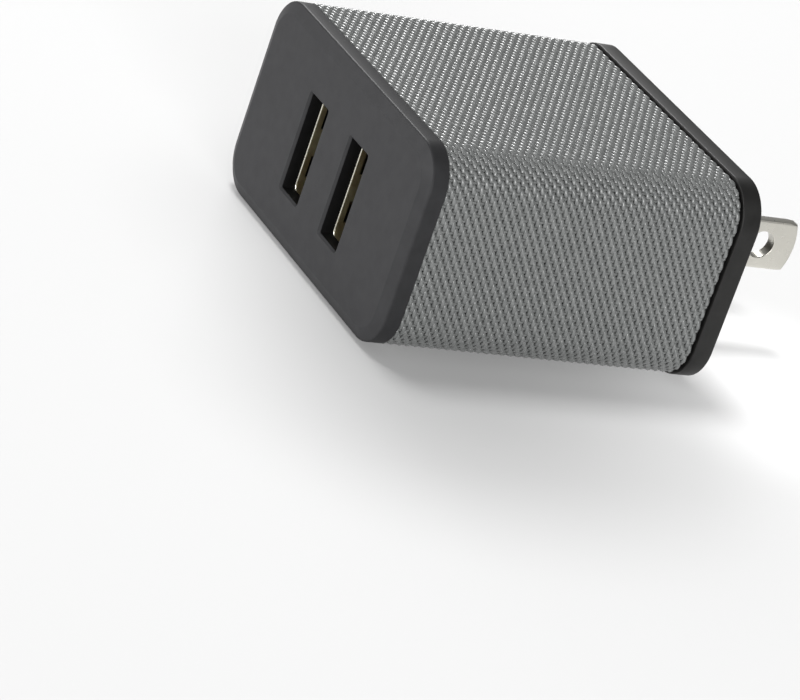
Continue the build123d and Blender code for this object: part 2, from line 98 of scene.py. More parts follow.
def ramp(tree, source, stops):
    """A colour ramp on source, from (position, (r, g, b)) stops."""
    made = node(tree, "ShaderNodeValToRGB")
    elements = made.color_ramp.elements
    for index, (position, colour) in enumerate(stops):
        element = elements[index] if index < 2 else elements.new(position)
        element.position = position
        element.color = (*colour, 1.0)
    tree.links.new(source, made.inputs["Fac"])
    return made


def span(tree, source, low, high):
    """Source, from 0 to 1, as a value from low to high."""
    made = node(tree, "ShaderNodeMapRange")
    made.inputs["From Min"].default_value = 0.25
    made.inputs["From Max"].default_value = 0.75
    made.inputs["To Min"].default_value = low
    made.inputs["To Max"].default_value = high
    tree.links.new(source, made.inputs["Value"])
    return made.outputs["Result"]


def bump(tree, shader, height, depth_mm, strength=1.0):
    made = node(tree, "ShaderNodeBump")
    made.inputs["Strength"].default_value = strength
    made.inputs["Distance"].default_value = depth_mm * MM
    tree.links.new(height, made.inputs["Height"])
    tree.links.new(made.outputs["Normal"], shader.inputs["Normal"])
    return made


def grained(name, dark, light, rough, grain_mm, depth_mm, metal=0.0, coat=0.0, specular=0.5):
    """Moulded, dipped or plated stuff: mottled colour, uneven gloss and a fine grain."""
    material, tree, shader = new_material(name)
    mottle = object_noise(tree, grain_mm * 18)
    grain = object_noise(tree, grain_mm, detail=2.0)
    colours = ramp(tree, mottle.outputs["Fac"], [(0.3, dark), (0.7, light)])
    tree.links.new(colours.outputs["Color"], shader.inputs["Base Color"])
    gloss = span(tree, grain.outputs["Fac"], *rough)
    tree.links.new(gloss, shader.inputs["Roughness"])
    bump(tree, shader, grain.outputs["Fac"], depth_mm)
    shader.inputs["Metallic"].default_value = metal
    shader.inputs["Coat Weight"].default_value = coat
    shader.inputs["Specular IOR Level"].default_value = specular
    return material


# Each finish: its dark and its light colour, the range of its roughness, the size and the depth of
# its grain in mm, and whatever else sets it apart.
FINISHES = {
    "bezel_plastic": (
        (0.029, 0.029, 0.0304), (0.034, 0.034, 0.0356), (0.42, 0.52), 0.09, 0.0016, {"specular": 0.1}
    ),
    # The bezel's plastic darkened as painted shade, for the faces deep in the slots.
    "slot_painted_shade_plastic": (
        (0.004, 0.004, 0.0042), (0.006, 0.006, 0.0062), (0.5, 0.6), 0.09, 0.0016, {"specular": 0.15}
    ),
    "housing_plastic": ((0.006, 0.006, 0.006), (0.01, 0.01, 0.01), (0.45, 0.6), 0.1, 0.002, {}),
    "cap_plastic": (
        (0.0128, 0.0126, 0.0121), (0.0172, 0.0168, 0.0162), (0.38, 0.48), 0.1, 0.0016, {"specular": 0.25}
    ),
    "blade_nickel": (
        (0.57, 0.555, 0.505), (0.62, 0.605, 0.55), (0.26, 0.36), 0.4, 0.001, {"metal": 1.0}
    ),
    "terminal_bronze": (
        (0.45, 0.27, 0.12), (0.52, 0.32, 0.15), (0.25, 0.4), 0.3, 0.002, {"metal": 1.0}
    ),
    "shell_steel": (
        (0.36, 0.29, 0.17), (0.58, 0.54, 0.36), (0.34, 0.46), 0.16, 0.0005, {"metal": 0.9}
    ),
    # The shell's rounded mouth: lighter and glossier metal than the shell, partly its bare edge and
    # partly a painted highlight.
    "shell_lip_bare_and_painted_highlight": ((0.9, 0.87, 0.74), (0.96, 0.93, 0.8), (0.24, 0.34), 0.3, 0.0005, {"metal": 1.0}),
    "port_plastic": ((0.008, 0.008, 0.008), (0.012, 0.012, 0.012), (0.25, 0.4), 0.12, 0.002, {}),
    "contact_gold": ((0.75, 0.5, 0.16), (0.8, 0.56, 0.2), (0.16, 0.28), 0.2, 0.001, {"metal": 1.0}),
    "tinned_lead": (
        (0.55, 0.55, 0.53), (0.65, 0.65, 0.63), (0.25, 0.4), 0.2, 0.002, {"metal": 1.0}
    ),
    "board_green": (
        (0.008, 0.06, 0.02), (0.012, 0.085, 0.03), (0.25, 0.4), 0.5, 0.004, {"coat": 0.3}
    ),
    "ferrite": ((0.02, 0.02, 0.021), (0.035, 0.035, 0.036), (0.5, 0.7), 0.2, 0.01, {}),
    "bobbin_plastic": ((0.01, 0.01, 0.01), (0.016, 0.016, 0.016), (0.35, 0.5), 0.15, 0.003, {}),
    "copper_wire": (
        (0.42, 0.13, 0.05), (0.52, 0.18, 0.07), (0.2, 0.35), 0.25, 0.02, {"metal": 1.0}
    ),
    "tape_yellow": ((0.6, 0.38, 0.03), (0.66, 0.43, 0.05), (0.2, 0.35), 0.6, 0.004, {}),
    "can_sleeve": (
        (0.01, 0.014, 0.03), (0.014, 0.02, 0.04), (0.2, 0.32), 0.6, 0.004, {"coat": 0.4}
    ),
    "fuse_body": ((0.05, 0.02, 0.01), (0.07, 0.03, 0.014), (0.35, 0.5), 0.2, 0.003, {}),
    "disc_blue": ((0.015, 0.07, 0.25), (0.02, 0.09, 0.3), (0.3, 0.45), 0.4, 0.01, {}),
    "chip_black": ((0.01, 0.01, 0.01), (0.015, 0.015, 0.015), (0.5, 0.65), 0.1, 0.003, {}),
    "chip_ceramic": ((0.02, 0.02, 0.02), (0.035, 0.035, 0.035), (0.3, 0.5), 0.1, 0.003, {}),
    "insulator_film": ((0.6, 0.6, 0.56), (0.66, 0.66, 0.62), (0.25, 0.35), 0.8, 0.003, {}),
}
MATERIALS = {name: grained(name, *row, **more) for name, (*row, more) in FINISHES.items()}


def yarn_material(name, dark, light, slant, gloss=(0.26, 0.4), specular=0.6):
    """Filament nylon: fine strands that run along the yarn at a slant, over a mottled grey."""
    material, tree, shader = new_material(name)
    where = node(tree, "ShaderNodeUVMap", uv_map="yarn_mm")
    turned = node(tree, "ShaderNodeMapping")
    turned.inputs["Rotation"].default_value = (0.0, 0.0, slant)
    tree.links.new(where.outputs["UV"], turned.inputs["Vector"])
    strands = node(tree, "ShaderNodeTexWave", bands_direction="Y")
    strands.inputs["Scale"].default_value = 2.6
    strands.inputs["Distortion"].default_value = 1.2
    strands.inputs["Detail"].default_value = 2.0
    strands.inputs["Detail Scale"].default_value = 3.0
    tree.links.new(turned.outputs["Vector"], strands.inputs["Vector"])
    mottle = object_noise(tree, 0.9, detail=4.0)
    colours = ramp(tree, mottle.outputs["Fac"], [(0.32, dark), (0.68, light)])
    tree.links.new(colours.outputs["Color"], shader.inputs["Base Color"])
    rough = span(tree, mottle.outputs["Fac"], *gloss)
    tree.links.new(rough, shader.inputs["Roughness"])
    bump(tree, shader, strands.outputs["Fac"], 0.02, 0.12)
    shader.inputs["Sheen Weight"].default_value = 0.15
    shader.inputs["Sheen Roughness"].default_value = 0.4
    shader.inputs["Specular IOR Level"].default_value = specular
    return material


MATERIALS["round_yarn"] = yarn_material(
    "round_yarn", (0.142, 0.148, 0.146), (0.194, 0.2, 0.197), math.radians(28), (0.21, 0.31), 0.95
)
MATERIALS["long_yarn"] = yarn_material(
    "long_yarn", (0.14, 0.146, 0.143), (0.19, 0.196, 0.193), math.radians(-20)
)
MATERIALS["backing_film"] = grained(
    "backing_film", (0.014, 0.014, 0.014), (0.022, 0.022, 0.022), (0.6, 0.8), 0.2, 0.01
)


# ---------------------------------------------------------------- mesh helpers


def add_piece(name, mesh, body="charger", replaces=()):
    piece = bpy.data.objects.new(name, mesh)
    bpy.context.scene.collection.objects.link(piece)
    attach(piece, body)
    if replaces:
        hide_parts(*replaces)
    return piece


def mark_creases(mesh, degrees):
    """Smooth shading, with a hard edge wherever two faces meet at more than this angle."""
    work = bmesh.new()
    work.from_mesh(mesh)
    for face in work.faces:
        face.smooth = True
    for edge in work.edges:
        if len(edge.link_faces) == 2:
            edge.smooth = edge.calc_face_angle(0.0) < math.radians(degrees)
    work.to_mesh(mesh)
    work.free()


def rounded_rectangle(width, height, radius, corner_steps):
    """Points round a rounded rectangle, counter-clockwise, starting on the right side."""
    points = []
    for turn, (sx, sy) in enumerate(((1, 1), (-1, 1), (-1, -1), (1, -1))):
        centre = Vector((sx * (width / 2 - radius), sy * (height / 2 - radius)))
        for step in range(corner_steps + 1):
            angle = math.pi / 2 * (turn + step / corner_steps)
            points.append(centre + radius * Vector((math.cos(angle), math.sin(angle))))
    return points


def inset(points, distance):
    """The closed counter-clockwise line moved inwards by distance, with mitred corners."""
    moved = []
    count = len(points)
    for index, point in enumerate(points):
        before = (point - points[index - 1]).normalized()
        after = (points[(index + 1) % count] - point).normalized()
        left = Vector((-before.y, before.x)) + Vector((-after.y, after.x))
        left.normalize()
        reach = distance / max(0.3, left.dot(Vector((-before.y, before.x))))
        moved.append(point + left * reach)
    return moved


class Solid:
    """A closed plate with rounded rims, built from flat outlines and placed by a function."""

    def __init__(self, place):
        self.work = bmesh.new()
        self.place = place

    def ring(self, points, depth):
        return [self.work.verts.new(self.place(p.x, p.y, depth)) for p in points]

    def wall(self, rings, flip=False):
        for near, far in zip(rings, rings[1:]):
            count = len(near)
            for index in range(count):
                after = (index + 1) % count
                corners = [near[index], near[after], far[after], far[index]]
                self.work.faces.new(corners[::-1] if flip else corners)

    def sweep(self, outline, steps, flip=False):
        """Rings of the outline at each (inset, depth) step, joined by a wall."""
        rings = []
        for amount, depth in steps:
            rings.append(self.ring(inset(outline, amount) if amount else outline, depth))
        self.wall(rings, flip)
        return rings

    def fill(self, rings):
        """A flat face between rings that lie in one plane: an outline and its holes."""
        edges = []
        for ring in rings:
            for index, vert in enumerate(ring):
                edges.append(self.work.edges.get((vert, ring[(index + 1) % len(ring)])))
        bmesh.ops.triangle_fill(self.work, use_beauty=True, use_dissolve=False, edges=edges)

    def mesh(self, name, crease=32):
        bmesh.ops.remove_doubles(self.work, verts=self.work.verts, dist=1e-7)
        bmesh.ops.recalc_face_normals(self.work, faces=self.work.faces)
        made = bpy.data.meshes.new(name)
        self.work.to_mesh(made)
        self.work.free()
        mark_creases(made, crease)
        return made


def eased(profile, radii, steps=4, margin=0.12 * MM):
    """A line of (inset, depth) points with each inner corner rounded to its radius.

    A point is kept a little way before and after each round, so the flats shade flat."""
    found = [profile[0]]
    for before, here, after, radius in zip(profile, profile[1:], profile[2:], radii):
        here = Vector(here)
        back, on = (Vector(before) - here).normalized(), (Vector(after) - here).normalized()
        turn = math.pi - back.angle(on)
        reach = radius * math.tan(turn / 2)
        room = min((Vector(before) - here).length, (Vector(after) - here).length) * 0.48
        reach = min(reach, room)
        middle = here + (back + on).normalized() * reach / math.cos((math.pi - turn) / 2)
        first, last = here + back * reach, here + on * reach
        spoke = first - middle
        if reach + margin < room:
            found.append(tuple(here + back * (reach + margin)))
        side = 1 if back.x * on.y - back.y * on.x < 0 else -1
        for step in range(steps + 1):
            angle = side * turn * step / steps
            c, sn = math.cos(angle), math.sin(angle)
            turned_x, turned_y = spoke.x * c - spoke.y * sn, spoke.x * sn + spoke.y * c
            found.append((middle.x + turned_x, middle.y + turned_y))
        if reach + margin < room:
            found.append(tuple(here + on * (reach + margin)))
    found.append(profile[-1])
    return found


def outline_arc_lengths(width, height, radius):
    """Lengths of the straight and round stretches of a rounded rectangle, clockwise from the
    middle of its top side as seen from the front."""
    flat, upright, bend = width - 2 * radius, height - 2 * radius, math.pi / 2 * radius
    return [flat / 2, bend, upright, bend, flat, bend, upright, bend, flat / 2]


def wrap(s, width, height, radius):
    """Place and outward normal on a rounded rectangle at each distance s round it.

    s runs clockwise from the middle of the top side, seen from the front: right along the top,
    down the right side, back along the bottom and up the left side."""
    lengths = outline_arc_lengths(width, height, radius)
    total = sum(lengths)
    s = np.mod(s, total)
    inner_x, inner_z = width / 2 - radius, height / 2 - radius
    x, z = np.zeros_like(s), np.zeros_like(s)
    nx, nz = np.zeros_like(s), np.zeros_like(s)
    starts = np.concatenate([[0.0], np.cumsum(lengths)])
    # A flat has its first point, its way and its normal; a bend its centre and first angle.
    flats = {
        0: ((0.0, height / 2), (1, 0), (0, 1)),
        2: ((width / 2, inner_z), (0, -1), (1, 0)),
        4: ((inner_x, -height / 2), (-1, 0), (0, -1)),
        6: ((-width / 2, -inner_z), (0, 1), (-1, 0)),
        8: ((-inner_x, height / 2), (1, 0), (0, 1)),
    }
    bends = {
        1: ((inner_x, inner_z), 90),
        3: ((inner_x, -inner_z), 0),
        5: ((-inner_x, -inner_z), -90),
        7: ((-inner_x, inner_z), 180),
    }
    for index in range(9):
        here = (s >= starts[index]) & (s <= starts[index + 1])
        along = s[here] - starts[index]
        if index in flats:
            start, way, normal = flats[index]
            x[here], z[here] = start[0] + way[0] * along, start[1] + way[1] * along
            nx[here], nz[here] = normal
        else:
            centre, first = bends[index]
            angle = math.radians(first) - along / radius
            nx[here], nz[here] = np.cos(angle), np.sin(angle)
            x[here], z[here] = centre[0] + radius * nx[here], centre[1] + radius * nz[here]
    return x, z, nx, nz


def mesh_from_arrays(name, points, faces, uvs=None):
    """A mesh from an array of points and an array of four-cornered faces, shaded smooth."""
    made = bpy.data.meshes.new(name)
    made.vertices.add(len(points))
    made.vertices.foreach_set("co", points.astype(np.float32).ravel())
    made.loops.add(faces.size)
    made.loops.foreach_set("vertex_index", faces.astype(np.int32).ravel())
    made.polygons.add(len(faces))
    made.polygons.foreach_set("loop_start", np.arange(0, faces.size, 4, dtype=np.int32))
    made.polygons.foreach_set("use_smooth", np.ones(len(faces), bool))
    made.update(calc_edges=True)
    if uvs is not None:
        layer = made.uv_layers.new(name="yarn_mm")
        layer.data.foreach_set("uv", uvs[faces.ravel()].astype(np.float32).ravel())
    made.validate()
    return made


# ---------------------------------------------------------------- woven sleeve

# Plain weave. Round yarns go round the sleeve and stand out as slanted floats; thinner yarns
# run lengthwise under the floats. All sizes here are in millimetres.
ROUND_YARNS = 75
LONG_YARNS = 166
SLEEVE_W, SLEEVE_H, SLEEVE_R = WIDTH / MM, HEIGHT / MM, CORNER / MM
SLEEVE_Y0, SLEEVE_Y1 = SLEEVE_START / MM, SLEEVE_END / MM
PERIMETER = sum(outline_arc_lengths(SLEEVE_W, SLEEVE_H, SLEEVE_R))
ROUND_PITCH = (SLEEVE_Y1 - SLEEVE_Y0) / ROUND_YARNS
LONG_PITCH = PERIMETER / LONG_YARNS
# Stations along one float, from one dip at -1 to the next at 1.
ROUND_STEPS = (-1.0, -0.86, -0.68, -0.42, -0.15, 0.15, 0.42, 0.68, 0.86)
# The top of a float: CREST over the sleeve's face, and lower by BULGE and DIP at its ends.
CREST, BULGE, DIP, DIP_SHARPNESS = 0.05, 0.20, 0.16, 5.0
# Section of a round yarn: its drop from crown to edge and from edge to belly, its shape as
# fractions of its half width and of that drop, and its width in the middle and at the dips.
ROUND_CROWN, ROUND_BELLY = 0.22, 0.06
ROUND_SHAPE = ((-1.0, 1.0), (-0.8, 0.32), (0.0, 0.0), (0.8, 0.32), (1.0, 1.0))
ROUND_WIDE, ROUND_NARROW = 0.57, 0.50
# How far a float's section is slanted, and how far the yarn and its crown sway sideways.
FLOAT_SLANT = 0.36
FLOAT_SWAY, CROWN_SWAY = 0.02, 0.08
# The cloth is skewed round the sleeve by this much for each mm of the sleeve's length.
BIAS = -0.018
# A long yarn lies at this level, swings up and down by this much, and is a flat lozenge.
LONG_LEVEL, LONG_SWING = -0.22, 0.06
LONG_THICK, LONG_WIDE = 0.14, 0.40
BACKING_DEPTH, BACKING_THICK, BACKING_STEPS = 0.50, 0.06, 240
# The yarns stop this far short of the sleeve's ends.
ROUND_GAP, LONG_GAP = 0.01, 0.005


def on_sleeve(s, y, height):
    x, z, nx, nz = wrap(s, SLEEVE_W, SLEEVE_H, SLEEVE_R)
    return np.stack([x + nx * height, y + 0 * height, z + nz * height], axis=-1) * MM


def tube_faces(rings, around, closed_length):
    """Quads of many equal tubes laid end to end in one array of points.

    rings is (tubes, rings per tube), around the points in a ring."""
    tubes, per_tube = rings
    start = (np.arange(tubes) * per_tube * around)[:, None, None]
    last = per_tube if closed_length else per_tube - 1
    row = (np.arange(last) * around)[None, :, None]
    after = (((np.arange(last) + 1) % per_tube) * around)[None, :, None]
    step = np.arange(around)[None, None, :]
    beside = ((np.arange(around) + 1) % around)[None, None, :]
    near, far = start + row, start + after
    quads = np.stack([near + step, far + step, far + beside, near + beside], -1)
    return quads.reshape(-1, 4)


def round_yarn_mesh(name, numbers):
    """The yarns that go round the sleeve, for these yarn numbers, as closed loops."""
    numbers = np.asarray(numbers)
    floats = LONG_YARNS // 2
    v = np.tile(np.array(ROUND_STEPS), floats)
    cell = np.repeat(np.arange(floats), len(ROUND_STEPS))
    s = (2 * cell + v)[None, :] * LONG_PITCH + (numbers % 2)[:, None] * LONG_PITCH
    plunge = ((1 - np.cos(np.pi * v)) / 2) ** DIP_SHARPNESS
    top = CREST - BULGE * v**2 - DIP * plunge
    half = (ROUND_WIDE - (ROUND_WIDE - ROUND_NARROW) * plunge) / 2
    across, drop = np.array(ROUND_SHAPE).T
    sway = np.sin(np.pi * v)[:, None]
    t = half[:, None] * across + sway * (FLOAT_SWAY + CROWN_SWAY * (1 - drop))
    h = top[:, None] - ROUND_CROWN * drop[None, :]
    # One more point closes the ring under the yarn.
    t = np.concatenate([t, FLOAT_SWAY * sway], axis=1)
    h = np.concatenate([h, top[:, None] - ROUND_CROWN - ROUND_BELLY], axis=1)
    y = SLEEVE_Y0 + (numbers[:, None, None] + 0.5) * ROUND_PITCH + t[None]
    y = np.clip(y, SLEEVE_Y0 + ROUND_GAP, SLEEVE_Y1 - ROUND_GAP)
    s_all = s[:, :, None] + FLOAT_SLANT * t[None] + BIAS * (y - SLEEVE_Y0)
    h_all = np.broadcast_to(h[None], y.shape)
    points = on_sleeve(s_all, y, h_all).reshape(-1, 3)
    faces = tube_faces((len(numbers), len(v)), t.shape[1], True)
    around = np.linspace(-0.5, 0.5, t.shape[1])
    u = (2 * cell + v) * LONG_PITCH
    uvs = np.stack(np.broadcast_arrays(u[None, :, None], around[None, None, :] + 0 * y), -1)
    return mesh_from_arrays(name, points, faces, uvs.reshape(-1, 2))


def long_yarn_mesh(name, numbers):
    """The yarns that run along the sleeve, for these yarn numbers, with closed ends."""
    numbers = np.asarray(numbers)
    rows = np.arange(2 * ROUND_YARNS + 1) / 2.0
    rise = np.cos(np.pi * (rows[None, :] - 0.5 + numbers[:, None] + 1))
    level = LONG_LEVEL + LONG_SWING * rise
    half = LONG_WIDE / 2
    section_t = np.array([-half, 0.0, half, 0.0])
    section_h = np.array([0.0, LONG_THICK / 2, 0.0, -LONG_THICK / 2])
    s = numbers[:, None, None] * LONG_PITCH + section_t[None, None, :] + 0 * level[:, :, None]
    y = SLEEVE_Y0 + LONG_GAP + rows * (ROUND_PITCH - 2 * LONG_GAP / ROUND_YARNS)
    y = np.broadcast_to(y[None, :, None], s.shape)
    h = level[:, :, None] + section_h[None, None, :]
    points = on_sleeve(s + BIAS * (y - SLEEVE_Y0), y, h).reshape(-1, 3)
    per_tube = len(rows)
    faces = tube_faces((len(numbers), per_tube), 4, False)
    first = (np.arange(len(numbers)) * per_tube * 4)[:, None]
    caps = np.concatenate([first + [[3, 2, 1, 0]], first + (per_tube - 1) * 4 + [[0, 1, 2, 3]]])
    faces = np.concatenate([faces, caps])
    uvs = np.stack(np.broadcast_arrays(y, section_t[None, None, :]), -1)
    return mesh_from_arrays(name, points, faces, uvs.reshape(-1, 2))


def backing_mesh(name):
    """The coated back of the cloth, a thin closed tube under the yarns."""
    s = np.arange(BACKING_STEPS) / BACKING_STEPS * PERIMETER
    top, under = BACKING_DEPTH, BACKING_DEPTH + BACKING_THICK
    rings = []
    for y, depth in ((SLEEVE_Y0, top), (SLEEVE_Y1, top), (SLEEVE_Y1, under), (SLEEVE_Y0, under)):
        rings.append(on_sleeve(s, np.full(BACKING_STEPS, y), np.full(BACKING_STEPS, -depth)))
    points = np.stack(rings, axis=1).reshape(-1, 3)
    return mesh_from_arrays(name, points, tube_faces((1, BACKING_STEPS), 4, True))


def build_sleeve():
    kinds = {
        "round_yarn": (round_yarn_mesh, ROUND_YARNS, 3),
        "long_yarn": (long_yarn_mesh, LONG_YARNS, 2),
    }
    for kind, (make_mesh, count, pieces) in kinds.items():
        for index, numbers in enumerate(np.array_split(np.arange(count), pieces)):
            name = f"{kind}s_{index + 1}"
            mesh = make_mesh(name, numbers)
            mesh.materials.append(MATERIALS[kind])
            add_piece(name, mesh)
    mesh = backing_mesh("cloth_backing")
    mark_creases(mesh, 40)
    mesh.materials.append(MATERIALS["backing_film"])
    backing = add_piece("cloth_backing", mesh, replaces=["fabric_sleeve"])


build_sleeve()


# ---------------------------------------------------------------- bezel and rear cap

# A LAND is the strip of a flat face next to its edge; the rest of that face is filled in after.
# Bezel: the port slots, the bevel round its face, its wall, and the rounds of its edges.
SLOT_W, SLOT_H, SLOT_CORNER = 4.88 * MM, 12.3 * MM, 0.22 * MM
SLOT_BEVEL, SLOT_ROUND = 0.26 * MM, 0.05 * MM
BEVEL_FACE, BEVEL_SIDE = 1.56 * MM, 0.62 * MM
BEVEL_ROUND, RIM_ROUND, BACK_ROUND = 1.4 * MM, 0.28 * MM, 0.12 * MM
BEZEL_WALL = 1.9 * MM
FACE_LAND, BACK_LAND = 0.25 * MM, 0.2 * MM
# Faces further in than this, behind the slots' bevels, get the bezel's painted shade.
PORT_AREA_INSET = 4 * MM  # of the faces behind the bevels, only the slots' walls lie so far in
FINE_MARGIN = 0.05 * MM

# Skirts of the bezel and the rear cap, which plug into the housing.
HOUSING_WALL, SKIRT_PLAY = 1.8 * MM, 0.05 * MM
SKIRT_WALL, SKIRT_LENGTH, SKIRT_CORNER = 1.2 * MM, 3.3 * MM, 2.4 * MM

# Rear cap, with the slots that the blades come through.
CAP_CORNER, CAP_EDGE, CAP_ROUND = 5.16 * MM, 0.2 * MM, 0.12 * MM
CAP_FRONT_LAND, CAP_REAR_LAND = 0.4 * MM, 0.8 * MM
BLADE_SLOT_CORNER, BLADE_SLOT_EDGE, BLADE_SLOT_LAND = 0.1 * MM, 0.12 * MM, 0.3 * MM
BLADE_PLAY = 0.05 * MM

# Blades: the rounded tip, the edges, the shoulders inside the cap, and the hole.
BLADE_WIDTH, BLADE_ROUND, BLADE_LAND = 6.35 * MM, 0.22 * MM, 0.42 * MM
TIP_RISE, TIP_START, TIP_STEPS = 0.7 * MM, 1.0 * MM, 6
TIP_SHARE = 0.97  # part of the tip's arc that is used, so that its ends stay clear of the sides
SHOULDER = 1.0 * MM
HOLE_FROM_TIP, HOLE_RADIUS, HOLE_STEPS = 4.85 * MM, 1.75 * MM, 48
HOLE_ROUND, HOLE_LAND = 0.1 * MM, 0.35 * MM


def facing_front(x, z, y):
    return Vector((x, y, z))


def port_centre(side):
    low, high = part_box(f"usb_shell_{side}")
    return (low.x + high.x) / 2, (low.z + high.z) / 2


def shifted(points, x, z):
    return [p + Vector((x, z)) for p in points]


def skirt_outline():
    less = 2 * (HOUSING_WALL + SKIRT_PLAY)
    width = housing_high.x - housing_low.x - less
    height = housing_high.z - housing_low.z - less
    return rounded_rectangle(width, height, SKIRT_CORNER, corner_steps=8)


def build_bezel():
    solid = Solid(facing_front)
    outer = rounded_rectangle(WIDTH, HEIGHT, CORNER, corner_steps=24)
    start, rim_back = FRONT, SLEEVE_START
    profile = [
        (BEVEL_FACE + FACE_LAND, start),
        (BEVEL_FACE, start),
        (0.0, start + BEVEL_SIDE),
        (0.0, rim_back),
        (BACK_LAND, rim_back),
    ]
    rings = solid.sweep(outer, eased(profile, (BEVEL_ROUND, RIM_ROUND, BACK_ROUND)))
    skirt = skirt_outline()
    skirt_end = rim_back + SKIRT_LENGTH
    skirt_out = solid.sweep(skirt, [(0.0, rim_back), (0.0, skirt_end)])
    skirt_in = solid.sweep(skirt, [(SKIRT_WALL, skirt_end), (SKIRT_WALL, start + BEZEL_WALL)])
    solid.wall([skirt_out[-1], skirt_in[0]])
    solid.fill([rings[-1], skirt_out[0]])
    front_holes, back_holes = [], []
    for side in PORT_SIDES:
        slot = rounded_rectangle(SLOT_W, SLOT_H, SLOT_CORNER, corner_steps=4)
        slot = shifted(slot, *port_centre(side))
        profile = [
            (-SLOT_BEVEL - FACE_LAND, start),
            (-SLOT_BEVEL, start),
            (0.0, start + SLOT_BEVEL),
            (0.0, start + BEZEL_WALL),
        ]
        hole = solid.sweep(slot, eased(profile, (SLOT_ROUND,) * 2, steps=3, margin=FINE_MARGIN))
        front_holes.append(hole[0])
        back_holes.append(hole[-1])
    solid.fill([rings[0], *front_holes])
    solid.fill([skirt_in[-1], *back_holes])
    mesh = solid.mesh("bezel_shell", crease=60)
    mesh.materials.append(MATERIALS["bezel_plastic"])
    mesh.materials.append(MATERIALS["slot_painted_shade_plastic"])
    # Faces deep in the slots, and the back face round them, get the darker copy of the bezel plastic:
    # painted shade where little light gets in.
    slot_start = start + SLOT_BEVEL + SLOT_ROUND
    for face in mesh.polygons:
        out = max(abs(face.center.x) - WIDTH / 2, abs(face.center.z) - HEIGHT / 2)
        face.material_index = int(out < -PORT_AREA_INSET and face.center.y > slot_start)
    add_piece("bezel_shell", mesh, replaces=["front_bezel"])


def build_cap():
    solid = Solid(facing_front)
    width, height = cap_high.x - cap_low.x, cap_high.z - cap_low.z
    outer = rounded_rectangle(width, height, CAP_CORNER, corner_steps=24)
    front, rear = CAP_FRONT, cap_high.y
    profile = [
        (CAP_FRONT_LAND, front),
        (0.0, front),
        (0.0, rear - CAP_EDGE),
        (CAP_EDGE, rear),
        (CAP_REAR_LAND, rear),
    ]
    rings = solid.sweep(outer, eased(profile, (CAP_ROUND,) * 3))
    skirt = skirt_outline()
    skirt_out = solid.sweep(skirt, [(0.0, front), (0.0, front - SKIRT_LENGTH)])
    skirt_in = solid.sweep(skirt, [(SKIRT_WALL, front - SKIRT_LENGTH), (SKIRT_WALL, front)])
    solid.wall([skirt_out[-1], skirt_in[0]])
    solid.fill([rings[0], skirt_out[0]])
    front_holes, rear_holes = [], []
    for side in PORT_SIDES:
        low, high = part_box(f"blade_{side}")
        slot_size = (high.x - low.x + 2 * BLADE_PLAY, BLADE_WIDTH + 2 * BLADE_PLAY)
        slot = rounded_rectangle(*slot_size, BLADE_SLOT_CORNER, corner_steps=3)
        slot = shifted(slot, (low.x + high.x) / 2, 0.0)
        profile = [(0.0, front), (0.0, rear - BLADE_SLOT_EDGE)]
        profile += [(-BLADE_SLOT_EDGE, rear), (-BLADE_SLOT_LAND, rear)]
        hole = solid.sweep(slot, eased(profile, (SLOT_ROUND,) * 2, steps=3, margin=FINE_MARGIN))
        front_holes.append(hole[0])
        rear_holes.append(hole[-1])
    solid.fill([rings[-1], *rear_holes])
    solid.fill([skirt_in[-1], *front_holes])
    mesh = solid.mesh("cap_shell", crease=60)
    mesh.materials.append(MATERIALS["cap_plastic"])
    add_piece("cap_shell", mesh, replaces=["rear_cap"])


def facing_side(y, z, x):
    return Vector((x, y, z))


def build_blade(side):
    low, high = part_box(f"blade_{side}")
    half = BLADE_WIDTH / 2
    radius = (half**2 + TIP_RISE**2) / (2 * TIP_RISE)
    spread = math.asin(half / radius) * TIP_SHARE
    # The lower edge, from the inner end past the shoulder, then the tip, then the upper edge.
    lower = [(low.y, -half), (CAP_FRONT - SHOULDER, -half), (CAP_FRONT - SHOULDER, low.z)]
    lower += [(CAP_FRONT, low.z), (CAP_FRONT, -half), (high.y - TIP_RISE - TIP_START, -half)]
    outline = [Vector(point) for point in lower]
    for step in range(2 * TIP_STEPS + 1):
        angle = spread * (step / TIP_STEPS - 1)
        outline.append(Vector((high.y - radius + radius * math.cos(angle), radius * math.sin(angle))))
    outline += [Vector((y, -z)) for y, z in reversed(lower)]
    solid = Solid(facing_side)
    profile = [(BLADE_LAND, low.x), (0.0, low.x), (0.0, high.x), (BLADE_LAND, high.x)]
    rings = solid.sweep(outline, eased(profile, (BLADE_ROUND,) * 2, margin=FINE_MARGIN))
    middle = Vector((high.y - HOLE_FROM_TIP, 0.0))
    hole = []
    for step in range(HOLE_STEPS):
        turn = 2 * math.pi * step / HOLE_STEPS
        hole.append(middle + HOLE_RADIUS * Vector((math.cos(turn), math.sin(turn))))
    profile = [(-HOLE_LAND, low.x), (0.0, low.x), (0.0, high.x), (-HOLE_LAND, high.x)]
    holes = solid.sweep(hole, eased(profile, (HOLE_ROUND,) * 2, margin=FINE_MARGIN))
    solid.fill([rings[0], holes[0]])
    solid.fill([rings[-1], holes[-1]])
    mesh = solid.mesh(f"prong_{side}", crease=50)
    mesh.materials.append(MATERIALS["blade_nickel"])
    add_piece(f"prong_{side}", mesh, replaces=[f"blade_{side}"])


build_bezel()
build_cap()
for side in PORT_SIDES:
    build_blade(side)


# ---------------------------------------------------------------- metal shells of the ports

